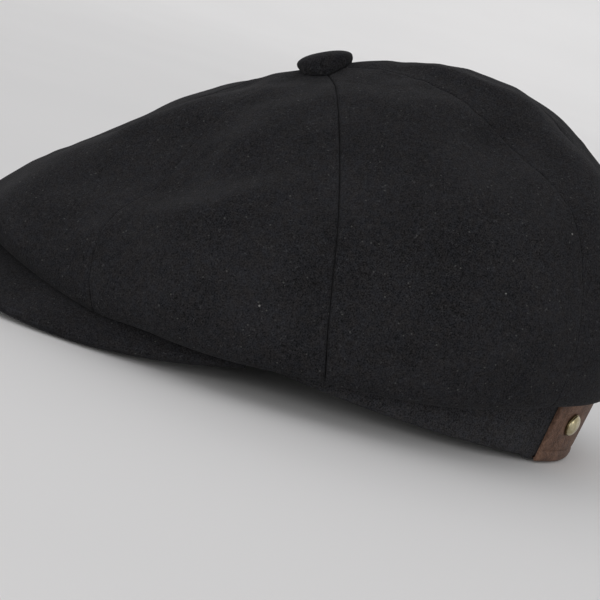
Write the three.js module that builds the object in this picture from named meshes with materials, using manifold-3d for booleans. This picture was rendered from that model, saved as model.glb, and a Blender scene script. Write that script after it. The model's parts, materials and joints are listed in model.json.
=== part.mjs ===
// A newsboy cap in wool melton: eight crown gores with a covered button, a self-fabric band,
// a short bent brim, a riveted leather tab at the back, and a sewn-in lining and sweatband.
// Millimetres. The cap is drawn level on its hem and then set down as it rests on a table.
import * as THREE from "three";
import { mergeVertices } from "three/addons/utils/BufferGeometryUtils.js";
import Module from "manifold-3d";

const wasm = await Module();
wasm.setup();

// ---- driving dimensions ------------------------------------------------------------------
const OPENING_HALF_LENGTH = 100;  // inside the sweatband, front to back: a 57 cm head
const OPENING_HALF_WIDTH = 80;    // inside the sweatband, side to side
const GAP = 0.3;                  // air between pieces that touch
const SWEATBAND = 0.9;            // thicknesses
const INTERLINING = 0.6;
const BAND = 2.4;                 // two layers of melton
const LEATHER = 1.5;
const CLOTH = 1.6;
const LINING = 0.6;
const BRIM_CLOTH = 1.2;
const BRIM_BOARD = 1.4;
const BAND_HEIGHT = 33;
const HEM_LIFT = 2;               // the hem rises this much at the middle of the brim
const FLARE = 0.085;              // how far the back of the band leans out as it rises
const SEAM_GAP = 0.2;             // each gore stops this far short of its seam line

const BRIM_SPREAD = 78;           // degrees either side of the front
const TAB_HALF_ANGLE = 26.5;      // degrees either side of the back
const TAB_HEIGHT = 27;
const RIVET_ANGLE = 17;
const RIVET_HEIGHT = 15.7;
const RIVET_RADIUS = 4.75;
const POST_RADIUS = 1.4;
const POST_HOLE_RADIUS = 1.75;
const BUTTON_RADIUS = 11.7;
const BUTTON_CENTRE = new THREE.Vector3(0, -47, 112);
const BUTTON_SLOPE = 31;          // degrees that the crown slopes down to the front there
const HUB_RADIUS = 2.6;           // the gores' points stop round the button's post

const radians = THREE.MathUtils.degToRad;
const vector = (x, y, z) => new THREE.Vector3(x, y, z);

// Layers of the hem, as distances outwards from the opening
const SWEATBAND_OUT = SWEATBAND;
const INTERLINING_IN = SWEATBAND_OUT + GAP;
const INTERLINING_OUT = INTERLINING_IN + INTERLINING;
const BAND_IN = INTERLINING_OUT + GAP;
const BAND_OUT = BAND_IN + BAND;
const LEATHER_IN = BAND_OUT + GAP;
const LEATHER_OUT = LEATHER_IN + LEATHER;

// ---- materials -----------------------------------------------------------------------------
function material(color, roughness, metalness = 0) {
  return new THREE.MeshStandardMaterial({ color, roughness, metalness, side: THREE.DoubleSide });
}
const materials = {
  melton: () => material(0x252527, 0.95),
  lining: () => material(0x1c1c1f, 0.45),
  sweatband: () => material(0x18181a, 0.8),
  interlining: () => material(0xd8d4c8, 0.9),
  board: () => material(0x8a8272, 0.8),
  leather: () => material(0x5c443a, 0.55),
  brass: () => material(0xa39a78, 0.3, 1),
  steel: () => material(0xb8b8b6, 0.35, 1),
  label: () => material(0x3a3a3c, 0.7),
};

// ---- mesh helpers --------------------------------------------------------------------------
const cap = new THREE.Group();

function signedVolume(positions, indices) {
  const [a, b, c] = [vector(), vector(), vector()];
  let total = 0;
  for (let i = 0; i < indices.length; i += 3) {
    a.fromArray(positions, 3 * indices[i]);
    b.fromArray(positions, 3 * indices[i + 1]);
    c.fromArray(positions, 3 * indices[i + 2]);
    total += a.dot(b.cross(c)) / 6;
  }
  return total;
}

// A closed sheet between two surfaces of (u, v), each in 0 to 1, with its four edges filled
function sheet(front, back, columns, rows) {
  const positions = [];
  for (const surface of [front, back]) {
    for (let j = 0; j <= rows; j += 1) {
      for (let i = 0; i <= columns; i += 1) {
        positions.push(...surface(i / columns, j / rows).toArray());
      }
    }
  }
  const behind = (columns + 1) * (rows + 1);
  const at = (i, j) => j * (columns + 1) + i;
  const indices = [];
  const quad = (a, b, c, d) => indices.push(a, b, c, a, c, d);
  for (let j = 0; j < rows; j += 1) {
    for (let i = 0; i < columns; i += 1) {
      const corners = [at(i, j), at(i + 1, j), at(i + 1, j + 1), at(i, j + 1)];
      quad(...corners);
      const [a, b, c, d] = corners.map((index) => index + behind);
      quad(a, d, c, b);
    }
  }
  for (let i = 0; i < columns; i += 1) {
    quad(at(i + 1, 0), at(i, 0), at(i, 0) + behind, at(i + 1, 0) + behind);
    quad(at(i, rows), at(i + 1, rows), at(i + 1, rows) + behind, at(i, rows) + behind);
  }
  for (let j = 0; j < rows; j += 1) {
    quad(at(0, j), at(0, j + 1), at(0, j + 1) + behind, at(0, j) + behind);
    quad(at(columns, j + 1), at(columns, j), at(columns, j) + behind, at(columns, j + 1) + behind);
  }
  if (signedVolume(positions, indices) < 0) indices.reverse();
  const geometry = new THREE.BufferGeometry();
  geometry.setAttribute("position", new THREE.Float32BufferAttribute(positions, 3));
  geometry.setIndex(indices);
  return geometry;
}

// A turned piece about +Z from its outline of [radius, height] points
function turned(outline, segments = 24) {
  const points = outline.map(([radius, height]) => new THREE.Vector2(radius, height));
  const geometry = new THREE.LatheGeometry(points, segments).rotateX(Math.PI / 2);
  const index = Array.from(geometry.getIndex().array);
  if (signedVolume(geometry.getAttribute("position").array, index) < 0) index.reverse();
  geometry.setIndex(index);
  return geometry;
}

// An arc of outline points about a centre, from one angle to another in degrees from +radius
function arc(radius, height, width, rise, from, to, steps) {
  const points = [];
  for (let i = 0; i <= steps; i += 1) {
    const angle = radians(from + ((to - from) * i) / steps);
    points.push([radius + width * Math.cos(angle), height + rise * Math.sin(angle)]);
  }
  return points;
}

function toSolid(geometry) {
  const bare = geometry.clone();
  bare.deleteAttribute("normal");
  bare.deleteAttribute("uv");
  const merged = mergeVertices(bare, 1e-4);
  const position = merged.getAttribute("position");
  const vertProperties = new Float32Array(position.array);
  const triVerts = new Uint32Array(merged.getIndex().array);
  return new wasm.Manifold(new wasm.Mesh({ numProp: 3, vertProperties, triVerts }));
}

function cut(geometry, cutters) {
  let solid = toSolid(geometry);
  for (const cutter of cutters) solid = solid.subtract(toSolid(cutter));
  const { vertProperties, triVerts } = solid.getMesh();
  const result = new THREE.BufferGeometry();
  result.setAttribute("position", new THREE.BufferAttribute(vertProperties, 3));
  result.setIndex(new THREE.BufferAttribute(triVerts, 1));
  return result;
}

function add(name, geometry, finish, parent = cap) {
  geometry.computeVertexNormals();
  const mesh = new THREE.Mesh(geometry, materials[finish]());
  mesh.name = name;
  parent.add(mesh);
  return mesh;
}

// ---- the hem's ring ------------------------------------------------------------------------
// A point of the hem: distance out from the opening, degrees round from the front towards the
// wearer's left, and height
function ring(out, angle, height) {
  const turn = radians(angle);
  const reach = out + height * lean(angle);
  const x = (OPENING_HALF_WIDTH + reach) * Math.sin(turn);
  const y = -(OPENING_HALF_LENGTH + reach) * Math.cos(turn);
  return vector(x, y, height);
}

// How steeply the band leans out
function lean(angle) {
  return FLARE * Math.min(0, Math.cos(radians(angle))) ** 2;
}

// The hem is flat round the back and sides, and arches up over the brim
function hem(angle) {
  return HEM_LIFT * Math.max(0, Math.cos(radians(angle))) ** 2;
}

// A strip bent round the hem from one angle to another
function strip(inner, outer, from, to, bottom, top, columns) {
  const face = (out) => (u, v) => {
    const angle = from + (to - from) * u;
    const low = bottom + hem(angle);
    return ring(out, angle, low + (top - low) * v);
  };
  return sheet(face(outer), face(inner), columns, 1);
}

// ---- the crown -----------------------------------------------------------------------------
// Each seam runs from the button over the crown to its fold, turns under, and ends at the
// band. Its stations are [x, y, z] after the hub: four down the top, the shoulder, the fold's
// outside, the fold's lowest line, the underside and the band.
const SEAM_STATIONS = [
  [   // centre front
    [0, -68, 99.5], [0, -92, 81], [0, -118, 55.2], [0, -142, 33.6], [0, -159.5, 17.6],
    [0, -168.5, 13], [0, -165, 8], [0, -138, 16], [0, -106, 28.5],
  ],
  [   // front side
    [22, -64, 94], [44, -77.5, 70.5], [61, -83.5, 48.5], [74, -92.5, 33.5], [82.5, -94.5, 22],
    [88, -90.5, 8], [85.5, -85, -2], [75, -79, 12], [60.9, -75, 28.5],
  ],
  [   // side
    [24, -38, 109], [50, -27.5, 97.5], [73, -17, 80.5], [91, -8, 62.5], [101.5, -1, 43],
    [106, 5.5, 23], [102, 10, 7], [94, 6, 15], [86, 0, 28.5],
  ],
  [   // back side
    [13, -20, 120.5], [27, 10, 121.5], [43, 40, 112], [59, 70, 99], [67, 84, 78],
    [70.5, 92.5, 48], [66.5, 92, 24], [64, 86, 24], [61.7, 75.8, 28.5],
  ],
  [   // centre back
    [0, -25, 123], [0, 10, 130.5], [0, 42, 128], [0, 74, 112.5], [0, 96.5, 82],
    [0, 111.5, 50], [0, 113.2, 30.5], [0, 111.4, 28.5], [0, 108.6, 31],
  ],
];
const PUFF = [0, 0.6, 3.5, 4.5, 4.5, 4.5, 4, 1.4, 0.4, 0];  // how far a gore swells, by station
const STATIONS = PUFF.length - 1;
const GORES = 8;

function buttonFrame() {
  const frame = new THREE.Group();
  frame.position.copy(BUTTON_CENTRE);
  frame.rotation.x = radians(BUTTON_SLOPE);
  return frame;
}

function hubPoint(seam) {
  const angle = radians((360 / GORES) * seam);
  const slope = radians(BUTTON_SLOPE);
  const ahead = HUB_RADIUS * Math.cos(angle);
  return vector(
    HUB_RADIUS * Math.sin(angle), -ahead * Math.cos(slope), -ahead * Math.sin(slope),
  ).add(BUTTON_CENTRE);
}

function seamCurve(seam) {
  const mirrored = seam > GORES / 2;
  const stations = SEAM_STATIONS[mirrored ? GORES - seam : seam];
  const side = mirrored ? -1 : 1;
  const points = stations.map(([x, y, z]) => vector(side * x, y, z));
  return new THREE.CatmullRomCurve3([hubPoint(seam), ...points], false, "centripetal");
}

const seamCurves = Array.from({ length: GORES }, (_, seam) => seamCurve(seam));

// A smooth loop round the crown at one station
function makeLoop(curves, stations) {
  const known = new Map();
  return (station) => {
    if (!known.has(station)) {
      const points = curves.map((curve) => curve.getPoint(station / stations));
      known.set(station, new THREE.CatmullRomCurve3(points, true, "centripetal"));
    }
    return known.get(station);
  };
}

function puffAt(station) {
  const low = Math.min(Math.floor(station), STATIONS - 1);
  return THREE.MathUtils.lerp(PUFF[low], PUFF[low + 1], station - low);
}

const STEP = 0.01;

function normalOf(surface, u, v, lastV) {
  const u0 = Math.max(0, u - STEP);
  const u1 = Math.min(1, u + STEP);
  const v0 = Math.max(0, v - STEP);
  const v1 = Math.min(lastV, v + STEP);
  const across = surface(u1, v).sub(surface(u0, v));
  const along = surface(u, v1).sub(surface(u, v0));
  return along.cross(across).normalize();
}

// The outside of one gore: u runs across it and station runs from the hub to the band
function goreSurface(gore, loopAt, swell) {
  const plain = (u, station) => loopAt(station).getPoint(((gore + u) / GORES) % 1);
  return (u, station) => {
    const bulge = swell(station) * (1 - (2 * u - 1) ** 2);
    const point = plain(u, station);
    if (bulge === 0) return point;
    return point.addScaledVector(normalOf(plain, u, station, STATIONS), bulge);
  };
}

// The cloth of one gore, cut back a little from both of its seams
function goreSheet(surface, lastStation, thickness, seamGap, columns, rows) {
  const place = (u, v) => {
    const station = v * lastStation;
    const width = surface(0, station).distanceTo(surface(1, station));
    const margin = seamGap / width;
    return [margin + u * (1 - 2 * margin), station];
  };
  const layer = (depth) => (u, v) => {
    const [across, station] = place(u, v);
    const normal = normalOf(surface, across, station, lastStation);
    return surface(across, station).addScaledVector(normal, -depth);
  };
  return sheet(layer(0), layer(thickness), columns, rows);
}

const GORE_NAMES = [
  "front_left", "front_side_left", "back_side_left", "back_left",
  "back_right", "back_side_right", "front_side_right", "front_right",
];

function addCrown() {
  const loopAt = makeLoop(seamCurves, STATIONS);
  GORE_NAMES.forEach((name, gore) => {
    const surface = goreSurface(gore, loopAt, puffAt);
    add(`crown_${name}`, goreSheet(surface, STATIONS, CLOTH, SEAM_GAP, 7, 18), "melton");
  });
}

// ---- the lining ----------------------------------------------------------------------------
// It follows the crown at a smaller size and ends on the sweatband's top edge, without going
// down into the crown's overhang.
const LINING_SCALE = 0.92;
const LINING_CENTRE = vector(0, -20, 40);
const LINING_STATIONS = 7;
const LINING_HEM_OUT = 1.2;
const LINING_LIFT = 1.6;            // the lining's lower edge over the sweatband
const LINING_RISE = 5;
const LINING_SEAM_GAP = 0.65;

function liningCurve(seam) {
  const crown = seamCurves[seam];
  const points = [];
  for (let station = 0; station < LINING_STATIONS - 1; station += 1) {
    const point = crown.getPoint(station / STATIONS).sub(LINING_CENTRE);
    points.push(point.multiplyScalar(LINING_SCALE).add(LINING_CENTRE));
  }
  const end = ring(LINING_HEM_OUT, (360 / GORES) * seam, BAND_HEIGHT + LINING_LIFT);
  const shoulder = points[points.length - 1];
  const middle = shoulder.clone().add(end).multiplyScalar(0.5);
  middle.z += LINING_RISE;
  points.push(middle, end);
  return new THREE.CatmullRomCurve3(points, false, "centripetal");
}

function addLining() {
  const curves = Array.from({ length: GORES }, (_, seam) => liningCurve(seam));
  const loopAt = makeLoop(curves, LINING_STATIONS);
  GORE_NAMES.forEach((name, gore) => {
    const surface = goreSurface(gore, loopAt, () => 0);
    const panel = goreSheet(surface, LINING_STATIONS, LINING, LINING_SEAM_GAP, 5, 9);
    add(`lining_${name}`, panel, "lining");
  });
}

// ---- the band, its interlining and the sweatband -------------------------------------------
const BUTT = 0.12;                  // degrees left open at each end where a strip's ends meet
const POST_REACH = 12;
const INTERLINING_INSET = 1;        // short of the band's edges
const TAB_CLEARANCE = 4;            // degrees between the interlining's ends and the tab
const SWEATBAND_LIFT = 0.3;         // its lower edge over the hem
const LABEL = 0.4;
const LABEL_HALF_ANGLE = 10;
const LABEL_BOTTOM = 8;
const LABEL_TOP = 24;

// A frame with +Z out of the hem at an angle, on the given layer
function hemFrame(out, angle, height) {
  const turn = radians(angle);
  const normal = vector(
    (OPENING_HALF_LENGTH + out) * Math.sin(turn), -(OPENING_HALF_WIDTH + out) * Math.cos(turn), 0,
  ).normalize();
  normal.z = -lean(angle);
  normal.normalize();
  const frame = new THREE.Group();
  frame.position.copy(ring(out, angle, height));
  frame.quaternion.setFromUnitVectors(vector(0, 0, 1), normal);
  frame.updateMatrixWorld(true);
  return frame;
}

const rivetFrames = {
  left: hemFrame(LEATHER_OUT, 180 - RIVET_ANGLE, RIVET_HEIGHT),
  right: hemFrame(LEATHER_OUT, 180 + RIVET_ANGLE, RIVET_HEIGHT),
};

function rivetHoles() {
  return Object.values(rivetFrames).map((frame) => {
    const hole = new THREE.CylinderGeometry(POST_HOLE_RADIUS, POST_HOLE_RADIUS, POST_REACH, 16);
    return hole.rotateX(Math.PI / 2).applyMatrix4(frame.matrixWorld);
  });
}

function addBands() {
  const end = 180 - BUTT;
  const band = strip(BAND_IN, BAND_OUT, -end, end, 0, BAND_HEIGHT, 60);
  add("outer_band", cut(band, rivetHoles()), "melton");
  const reach = 180 - TAB_HALF_ANGLE - TAB_CLEARANCE;
  const [low, high] = [INTERLINING_INSET, BAND_HEIGHT - INTERLINING_INSET];
  const stiffening = strip(INTERLINING_IN, INTERLINING_OUT, -reach, reach, low, high, 44);
  add("band_interlining", stiffening, "interlining");
  const sweatband = strip(0, SWEATBAND_OUT, -end, end, SWEATBAND_LIFT, BAND_HEIGHT, 60);
  add("sweatband", sweatband, "sweatband");
  const [from, to] = [180 - LABEL_HALF_ANGLE, 180 + LABEL_HALF_ANGLE];
  add("inner_label", strip(-GAP - LABEL, -GAP, from, to, LABEL_BOTTOM, LABEL_TOP, 6), "label");
}

// ---- the leather tab and its rivets --------------------------------------------------------
// The tab lies on the band at the back and wraps under the hem.
const TAB_ARC_STEPS = 4;
const TAB_ROWS = [TAB_HEIGHT, TAB_HEIGHT / 2, 1.5];

function tabSection(depth) {
  const edge = BAND_OUT + GAP + depth;
  const points = TAB_ROWS.map((height) => [edge, height]);
  points.push(...arc(BAND_OUT, 0, GAP + depth, GAP + depth, 0, -90, TAB_ARC_STEPS));
  points.push([BAND_IN, -GAP - depth]);
  return points;
}

function addTab() {
  const rows = tabSection(0).length - 1;
  const face = (depth) => (u, v) => {
    const [out, height] = tabSection(depth)[Math.round(v * rows)];
    return ring(out, 180 + TAB_HALF_ANGLE * (2 * u - 1), height);
  };
  const tab = sheet(face(LEATHER), face(0), 18, rows);
  add("leather_tab", cut(tab, rivetHoles()), "leather");
}

const RIVET_RIM = 0.7;              // height of the head's straight rim
const RIVET_DOME = 1.6;
const RIVET_WASHER = 0.6;

// A flat ring between two heights
function ringOutline(inner, outer, bottom, top) {
  return [[inner, bottom], [outer, bottom], [outer, top], [inner, top], [inner, bottom]];
}

function addRivets() {
  const postEnd = -(LEATHER_OUT - INTERLINING_IN);
  const head = [
    [0, RIVET_RIM + RIVET_DOME], ...arc(0, RIVET_RIM, RIVET_RADIUS - 0.5, RIVET_DOME, 68, 12, 4),
    [RIVET_RADIUS, RIVET_RIM], [RIVET_RADIUS, GAP], [POST_RADIUS, GAP],
    [POST_RADIUS, postEnd], [0, postEnd],
  ];
  const washer = ringOutline(
    POST_RADIUS + GAP, RIVET_RADIUS - 1, postEnd, postEnd + RIVET_WASHER,
  );
  for (const [side, frame] of Object.entries(rivetFrames)) {
    cap.add(frame);
    add(`rivet_${side}`, turned(head), "brass", frame);
    add(`rivet_washer_${side}`, turned(washer), "brass", frame);
  }
}

// ---- the brim ------------------------------------------------------------------------------
// The outer edge's middle line, from the front centre round to the temple
const BRIM_EDGE = [
  [0, -190, -7], [37, -181.5, -9], [69, -154, -15.5], [88, -119, -17.7],
  [94.5, -88, -16.5], [94, -60, -12.4], [91, -39, -7.3], [89, -22, -1.6],
];
const BRIM_CURL = [1.75, 1.2];      // how late the brim bends down, in front and at the sides
const BRIM_CURL_ANGLES = [25, 55];  // where the front's bend turns into the sides' bend
const BRIM_ROOT = 2.2;              // middle line's height over the hem
const BRIM_GAP = 0.5;               // air between the board and its covers
const BOARD_INSET = 2.2;            // the covers run past the board to their seam

function brimEdgeCurve() {
  const left = BRIM_EDGE.map(([x, y, z]) => vector(x, y, z));
  const right = left.slice(1).map((point) => vector(-point.x, point.y, point.z)).reverse();
  return new THREE.CatmullRomCurve3([...right, ...left], false, "centripetal");
}

function addBrim() {
  const edge = brimEdgeCurve();
  const middle = (inset) => (u, v) => {
    const angle = BRIM_SPREAD * (2 * u - 1);
    const root = ring(BAND_OUT + 2 * GAP, angle, hem(angle) + BRIM_ROOT);
    const tip = edge.getPointAt(u);
    const reach = 1 - inset / root.distanceTo(tip);
    const along = v * reach;
    const sideways = THREE.MathUtils.smoothstep(Math.abs(angle), ...BRIM_CURL_ANGLES);
    const curl = THREE.MathUtils.lerp(...BRIM_CURL, sideways);
    const point = root.clone().lerp(tip, along);
    point.z = THREE.MathUtils.lerp(root.z, tip.z, along ** curl);
    return point;
  };
  const layer = (name, inset, low, high, finish) => {
    const surface = middle(inset);
    const raised = (lift) => (u, v) => {
      const normal = normalOf(surface, u, v, 1);
      if (normal.z < 0) normal.negate();
      const hang = v === 0 ? vector(0, 0, 1) : normal;
      return surface(u, v).addScaledVector(hang, lift);
    };
    add(name, sheet(raised(high), raised(low), 22, 6), finish);
  };
  const half = BRIM_BOARD / 2;
  layer("brim_board", BOARD_INSET, -half, half, "board");
  const inner = half + BRIM_GAP;
  layer("brim_top_cover", 0, inner, inner + BRIM_CLOTH, "melton");
  layer("brim_under_cover", 0, -inner - BRIM_CLOTH, -inner, "melton");
}

// ---- the covered button --------------------------------------------------------------------
const BUTTON_LIFT = 0.5;            // underside of the cover over the crown's cloth
const BUTTON_WAIST = 2.5;           // height of the cover's widest line over its underside
const BUTTON_DOME = 2.6;
const BUTTON_POST_REACH = 3.2;      // the post's end under the crown's cloth
const BUTTON_WASHER_RADIUS = 7;
const BUTTON_WASHER = 0.8;

function addButton() {
  const frame = buttonFrame();
  cap.add(frame);
  const lift = BUTTON_LIFT;
  const rim = BUTTON_RADIUS;
  const waist = lift + BUTTON_WAIST;
  const cover = [
    [0, waist + BUTTON_DOME], ...arc(0, waist, rim, BUTTON_DOME, 75, 0, 6),
    ...arc(rim - 1.8, waist, 1.8, BUTTON_WAIST, -30, -90, 2), [rim - 3, lift],
    [rim - 3, waist - 1], [rim - 1.4, waist],
    ...arc(0, waist, rim - 1.4, BUTTON_DOME - 1.2, 12, 75, 5), [0, waist + BUTTON_DOME - 1.2],
  ];
  add("button_cover", turned(cover), "melton", frame);
  const shellDome = BUTTON_DOME - 1.2 - GAP;
  const shell = [
    [0, waist + shellDome], ...arc(0, waist, rim - 1.4 - GAP, shellDome, 75, 8, 5),
    ...arc(0, waist, rim - 2.3, shellDome - 0.5, 8, 75, 5), [0, waist + shellDome - 0.5],
  ];
  add("button_shell", turned(shell), "steel", frame);
  const inside = -CLOTH - BUTTON_POST_REACH;
  const post = [
    [0, waist], [rim - 3.5, waist], [rim - 3.5, waist - 0.7], [POST_RADIUS, waist - 0.7],
    [POST_RADIUS, inside], [0, inside],
  ];
  add("button_post", turned(post), "steel", frame);
  const bottom = inside + 1;
  const washer = ringOutline(
    POST_RADIUS + GAP, BUTTON_WASHER_RADIUS, bottom, bottom + BUTTON_WASHER,
  );
  add("button_washer", turned(washer), "steel", frame);
}

// ---- setting the cap down ------------------------------------------------------------------
// It stands on the bent-down sides of its brim and on the tab's fold at the back: the tilt
// that brings both to one height, with the origin under the middle of the whole cap.
function lowest(points, angle, side) {
  const [sine, cosine] = [Math.sin(angle), Math.cos(angle)];
  return Math.min(...points.filter((p) => side * p.y > 0).map((p) => p.y * sine + p.z * cosine));
}

function setDown(group) {
  group.updateMatrixWorld(true);
  const points = [];
  group.traverse((mesh) => {
    if (!mesh.isMesh) return;
    const position = mesh.geometry.getAttribute("position");
    for (let i = 0; i < position.count; i += 1) {
      points.push(vector().fromBufferAttribute(position, i).applyMatrix4(mesh.matrixWorld));
    }
  });
  let [low, high] = [-0.3, 0.3];
  for (let i = 0; i < 40; i += 1) {
    const angle = (low + high) / 2;
    if (lowest(points, angle, -1) > lowest(points, angle, 1)) low = angle;
    else high = angle;
  }
  const tilt = (low + high) / 2;
  const turn = new THREE.Matrix4().makeRotationX(tilt);
  const box = new THREE.Box3().setFromPoints(points.map((p) => p.applyMatrix4(turn)));
  const centre = box.getCenter(vector());
  group.rotation.x = tilt;
  group.position.set(-centre.x, -centre.y, -box.min.z);
}

addCrown();
addLining();
addBands();
addTab();
addRivets();
addBrim();
addButton();
setDown(cap);

export default cap;
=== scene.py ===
# A newsboy cap in black wool melton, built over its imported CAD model. Lengths in the modelling
# code are millimetres in the hem's frame: the origin is the middle of the head opening, +X is
# the wearer's left, +Y the back, and +Z points up out of the hem's plane. Angles round the hem
# are degrees from the front towards the left.
import json
import math

import bmesh
import bpy
import numpy as np
from mathutils import Matrix

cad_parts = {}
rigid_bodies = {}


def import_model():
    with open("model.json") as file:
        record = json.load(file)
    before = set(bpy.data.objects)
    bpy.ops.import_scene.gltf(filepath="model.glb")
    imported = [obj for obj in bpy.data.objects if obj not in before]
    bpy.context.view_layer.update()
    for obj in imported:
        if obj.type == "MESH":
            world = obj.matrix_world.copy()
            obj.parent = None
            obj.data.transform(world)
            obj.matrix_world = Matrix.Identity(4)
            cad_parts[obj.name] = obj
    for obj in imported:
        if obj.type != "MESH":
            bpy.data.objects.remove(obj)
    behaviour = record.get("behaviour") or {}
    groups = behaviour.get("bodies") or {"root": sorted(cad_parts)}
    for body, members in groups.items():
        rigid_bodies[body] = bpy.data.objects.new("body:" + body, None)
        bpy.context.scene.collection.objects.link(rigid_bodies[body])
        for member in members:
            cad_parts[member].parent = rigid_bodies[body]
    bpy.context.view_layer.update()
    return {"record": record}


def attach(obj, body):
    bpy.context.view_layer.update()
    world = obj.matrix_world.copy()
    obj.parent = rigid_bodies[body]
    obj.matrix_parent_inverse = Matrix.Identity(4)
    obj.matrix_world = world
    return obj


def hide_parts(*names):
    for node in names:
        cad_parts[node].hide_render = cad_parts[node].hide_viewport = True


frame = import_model()

# ---- the hem's frame, from the record's mounts ----
mounts = {mount["name"]: mount for mount in frame["record"]["mounts"]}
ORIGIN = 1000 * np.array(mounts["head_opening"]["pos_m"])
UP = -np.array(mounts["head_opening"]["axis"], float)
LEFT = np.array([1.0, 0.0, 0.0])
BASIS = np.stack([LEFT, np.cross(UP, LEFT), UP])


def to_row(points):
    """Millimetres in the hem's frame to metres in the row's frame."""
    return (ORIGIN + np.asarray(points, float) @ BASIS) / 1000


def from_row(points):
    """Metres in the row's frame to millimetres in the hem's frame."""
    return (1000 * np.asarray(points, float) - ORIGIN) @ BASIS.T


# ---- dimensions, as in the CAD source ----
OPENING_HALF_LENGTH = 100
OPENING_HALF_WIDTH = 80
GAP = 0.3

# The band's layers, by their distances out from the head opening
SWEATBAND_OUT = 0.9
INTERLINING_IN, INTERLINING_OUT = 1.2, 1.8
BAND_IN, BAND_OUT = 2.1, 4.5
LEATHER_IN, LEATHER_OUT = 4.8, 6.3
BAND_HEIGHT = 33
HEM_LIFT = 2
FLARE = 0.085

LINING = 0.6
BRIM_HALF_BOARD = 0.7
BRIM_COVER_IN, BRIM_COVER_OUT = 1.2, 2.4
BRIM_SPREAD = 78
TAB_HALF_ANGLE = 26.5
TAB_HEIGHT = 27
RIVET_ANGLE = 17
RIVET_HEIGHT = 15.7
BUTTON_RADIUS = 11.7
BUTTON_CENTRE = np.array([0.0, -47.0, 112.0])
BUTTON_SLOPE = math.radians(31)
BUTTON_FORWARD = np.array([0, -math.cos(BUTTON_SLOPE), -math.sin(BUTTON_SLOPE)])
BUTTON_OUTWARD = np.array([0, -math.sin(BUTTON_SLOPE), math.cos(BUTTON_SLOPE)])
BUTTON_ACROSS = np.cross(BUTTON_FORWARD, BUTTON_OUTWARD)
BUTTON_LIFT = 0.5
BUTTON_WAIST = 2.5
BUTTON_DOME = 2.6
HUB_RADIUS = 2.6
GORES = 8

GORE_PARTS = ["front", "front_side", "back_side", "back"]
GORE_NAMES = [f"{part}_left" for part in GORE_PARTS]
GORE_NAMES += [f"{part}_right" for part in reversed(GORE_PARTS)]

# Where each seam runs, station by station from the button to the band, on the left side
SEAM_STATIONS = [
    [   # centre front
        (0, -68, 99.5), (0, -92, 81), (0, -118, 55.2), (0, -142, 33.6), (0, -159.5, 17.6),
        (0, -168.5, 13), (0, -165, 8), (0, -138, 16), (0, -106, 28.5),
    ],
    [   # front side
        (22, -64, 94), (44, -77.5, 70.5), (61, -83.5, 48.5), (74, -92.5, 33.5),
        (82.5, -94.5, 22), (88, -90.5, 8), (85.5, -85, -2), (75, -79, 12), (60.9, -75, 28.5),
    ],
    [   # side
        (24, -38, 109), (50, -27.5, 97.5), (73, -17, 80.5), (91, -8, 62.5), (101.5, -1, 43),
        (106, 5.5, 23), (102, 10, 7), (94, 6, 15), (86, 0, 28.5),
    ],
    [   # back side
        (13, -20, 120.5), (27, 10, 121.5), (43, 40, 112), (59, 70, 99), (67, 84, 78),
        (70.5, 92.5, 48), (66.5, 92, 24), (64, 86, 24), (61.7, 75.8, 28.5),
    ],
    [   # centre back
        (0, -25, 123), (0, 10, 130.5), (0, 42, 128), (0, 74, 112.5), (0, 96.5, 82),
        (0, 111.5, 50), (0, 113.2, 30.5), (0, 111.4, 28.5), (0, 108.6, 31),
    ],
]
# How far a gore's middle swells out at each station
PUFF = np.array([0, 0.6, 3.5, 4.5, 4.5, 4.5, 4, 1.4, 0.4, 0])
STATIONS = len(PUFF) - 1

# ---- where the finished cloth lies otherwise than in the CAD ----
INTERLINING_INSET = 5
CLOTH_THICKNESS = 1.5
BUTTON_DIP = 2.0
# The crown's edge hangs lower all over the brow, more in its middle, and higher at the nape
BROW_DROP = 2.9
BROW_MIDDLE_DROP = 4.2
BROW_MIDDLE_SPREAD = 28
NAPE_LIFT = 2.4


# ---- small mathematics ----
def smoothstep(x, low, high):
    t = np.clip((x - low) / (high - low), 0, 1)
    return t * t * (3 - 2 * t)


def bell(x, width):
    """A smooth rise to 1 where x is 0."""
    return np.exp(-((x / width) ** 2))


def size_of(vectors):
    return np.linalg.norm(vectors, axis=-1)


def unit(vectors):
    return vectors / np.maximum(size_of(vectors), 1e-12)[..., None]


def travelled(line):
    """How far along a line of points each of them lies."""
    return np.concatenate([[0], np.cumsum(size_of(np.diff(line, axis=0)))])


def hermite(a, b, slope_a, slope_b, t):
    """The cubic from a to b that leaves and arrives at the given slopes."""
    return (
        a + slope_a * t + (3 * (b - a) - 2 * slope_a - slope_b) * t**2
        + (2 * (a - b) + slope_a + slope_b) * t**3
    )


def spline_span(p0, p1, p2, p3, t):
    """Centripetal Catmull-Rom between p1 and p2, at t in 0 to 1. All broadcast together."""
    d0, d1, d2 = (
        np.sum((a - b) ** 2, -1, keepdims=True) ** 0.25 for a, b in ((p0, p1), (p1, p2), (p2, p3))
    )
    d1 = np.where(d1 < 1e-4, 1.0, d1)
    d0 = np.where(d0 < 1e-4, d1, d0)
    d2 = np.where(d2 < 1e-4, d1, d2)
    m1 = ((p1 - p0) / d0 - (p2 - p0) / (d0 + d1) + (p2 - p1) / d1) * d1
    m2 = ((p2 - p1) / d1 - (p3 - p1) / (d1 + d2) + (p3 - p2) / d2) * d1
    return hermite(p1, p2, m1, m2, t)


def open_spline(points, t):
    """Points on the open curve through points, at t counted in spans."""
    padded = np.vstack([2 * points[0] - points[1], points, 2 * points[-1] - points[-2]])
    span = np.clip(np.floor(t).astype(int), 0, len(points) - 2)
    return spline_span(*(padded[span + k] for k in range(4)), (t - span)[..., None])


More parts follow.
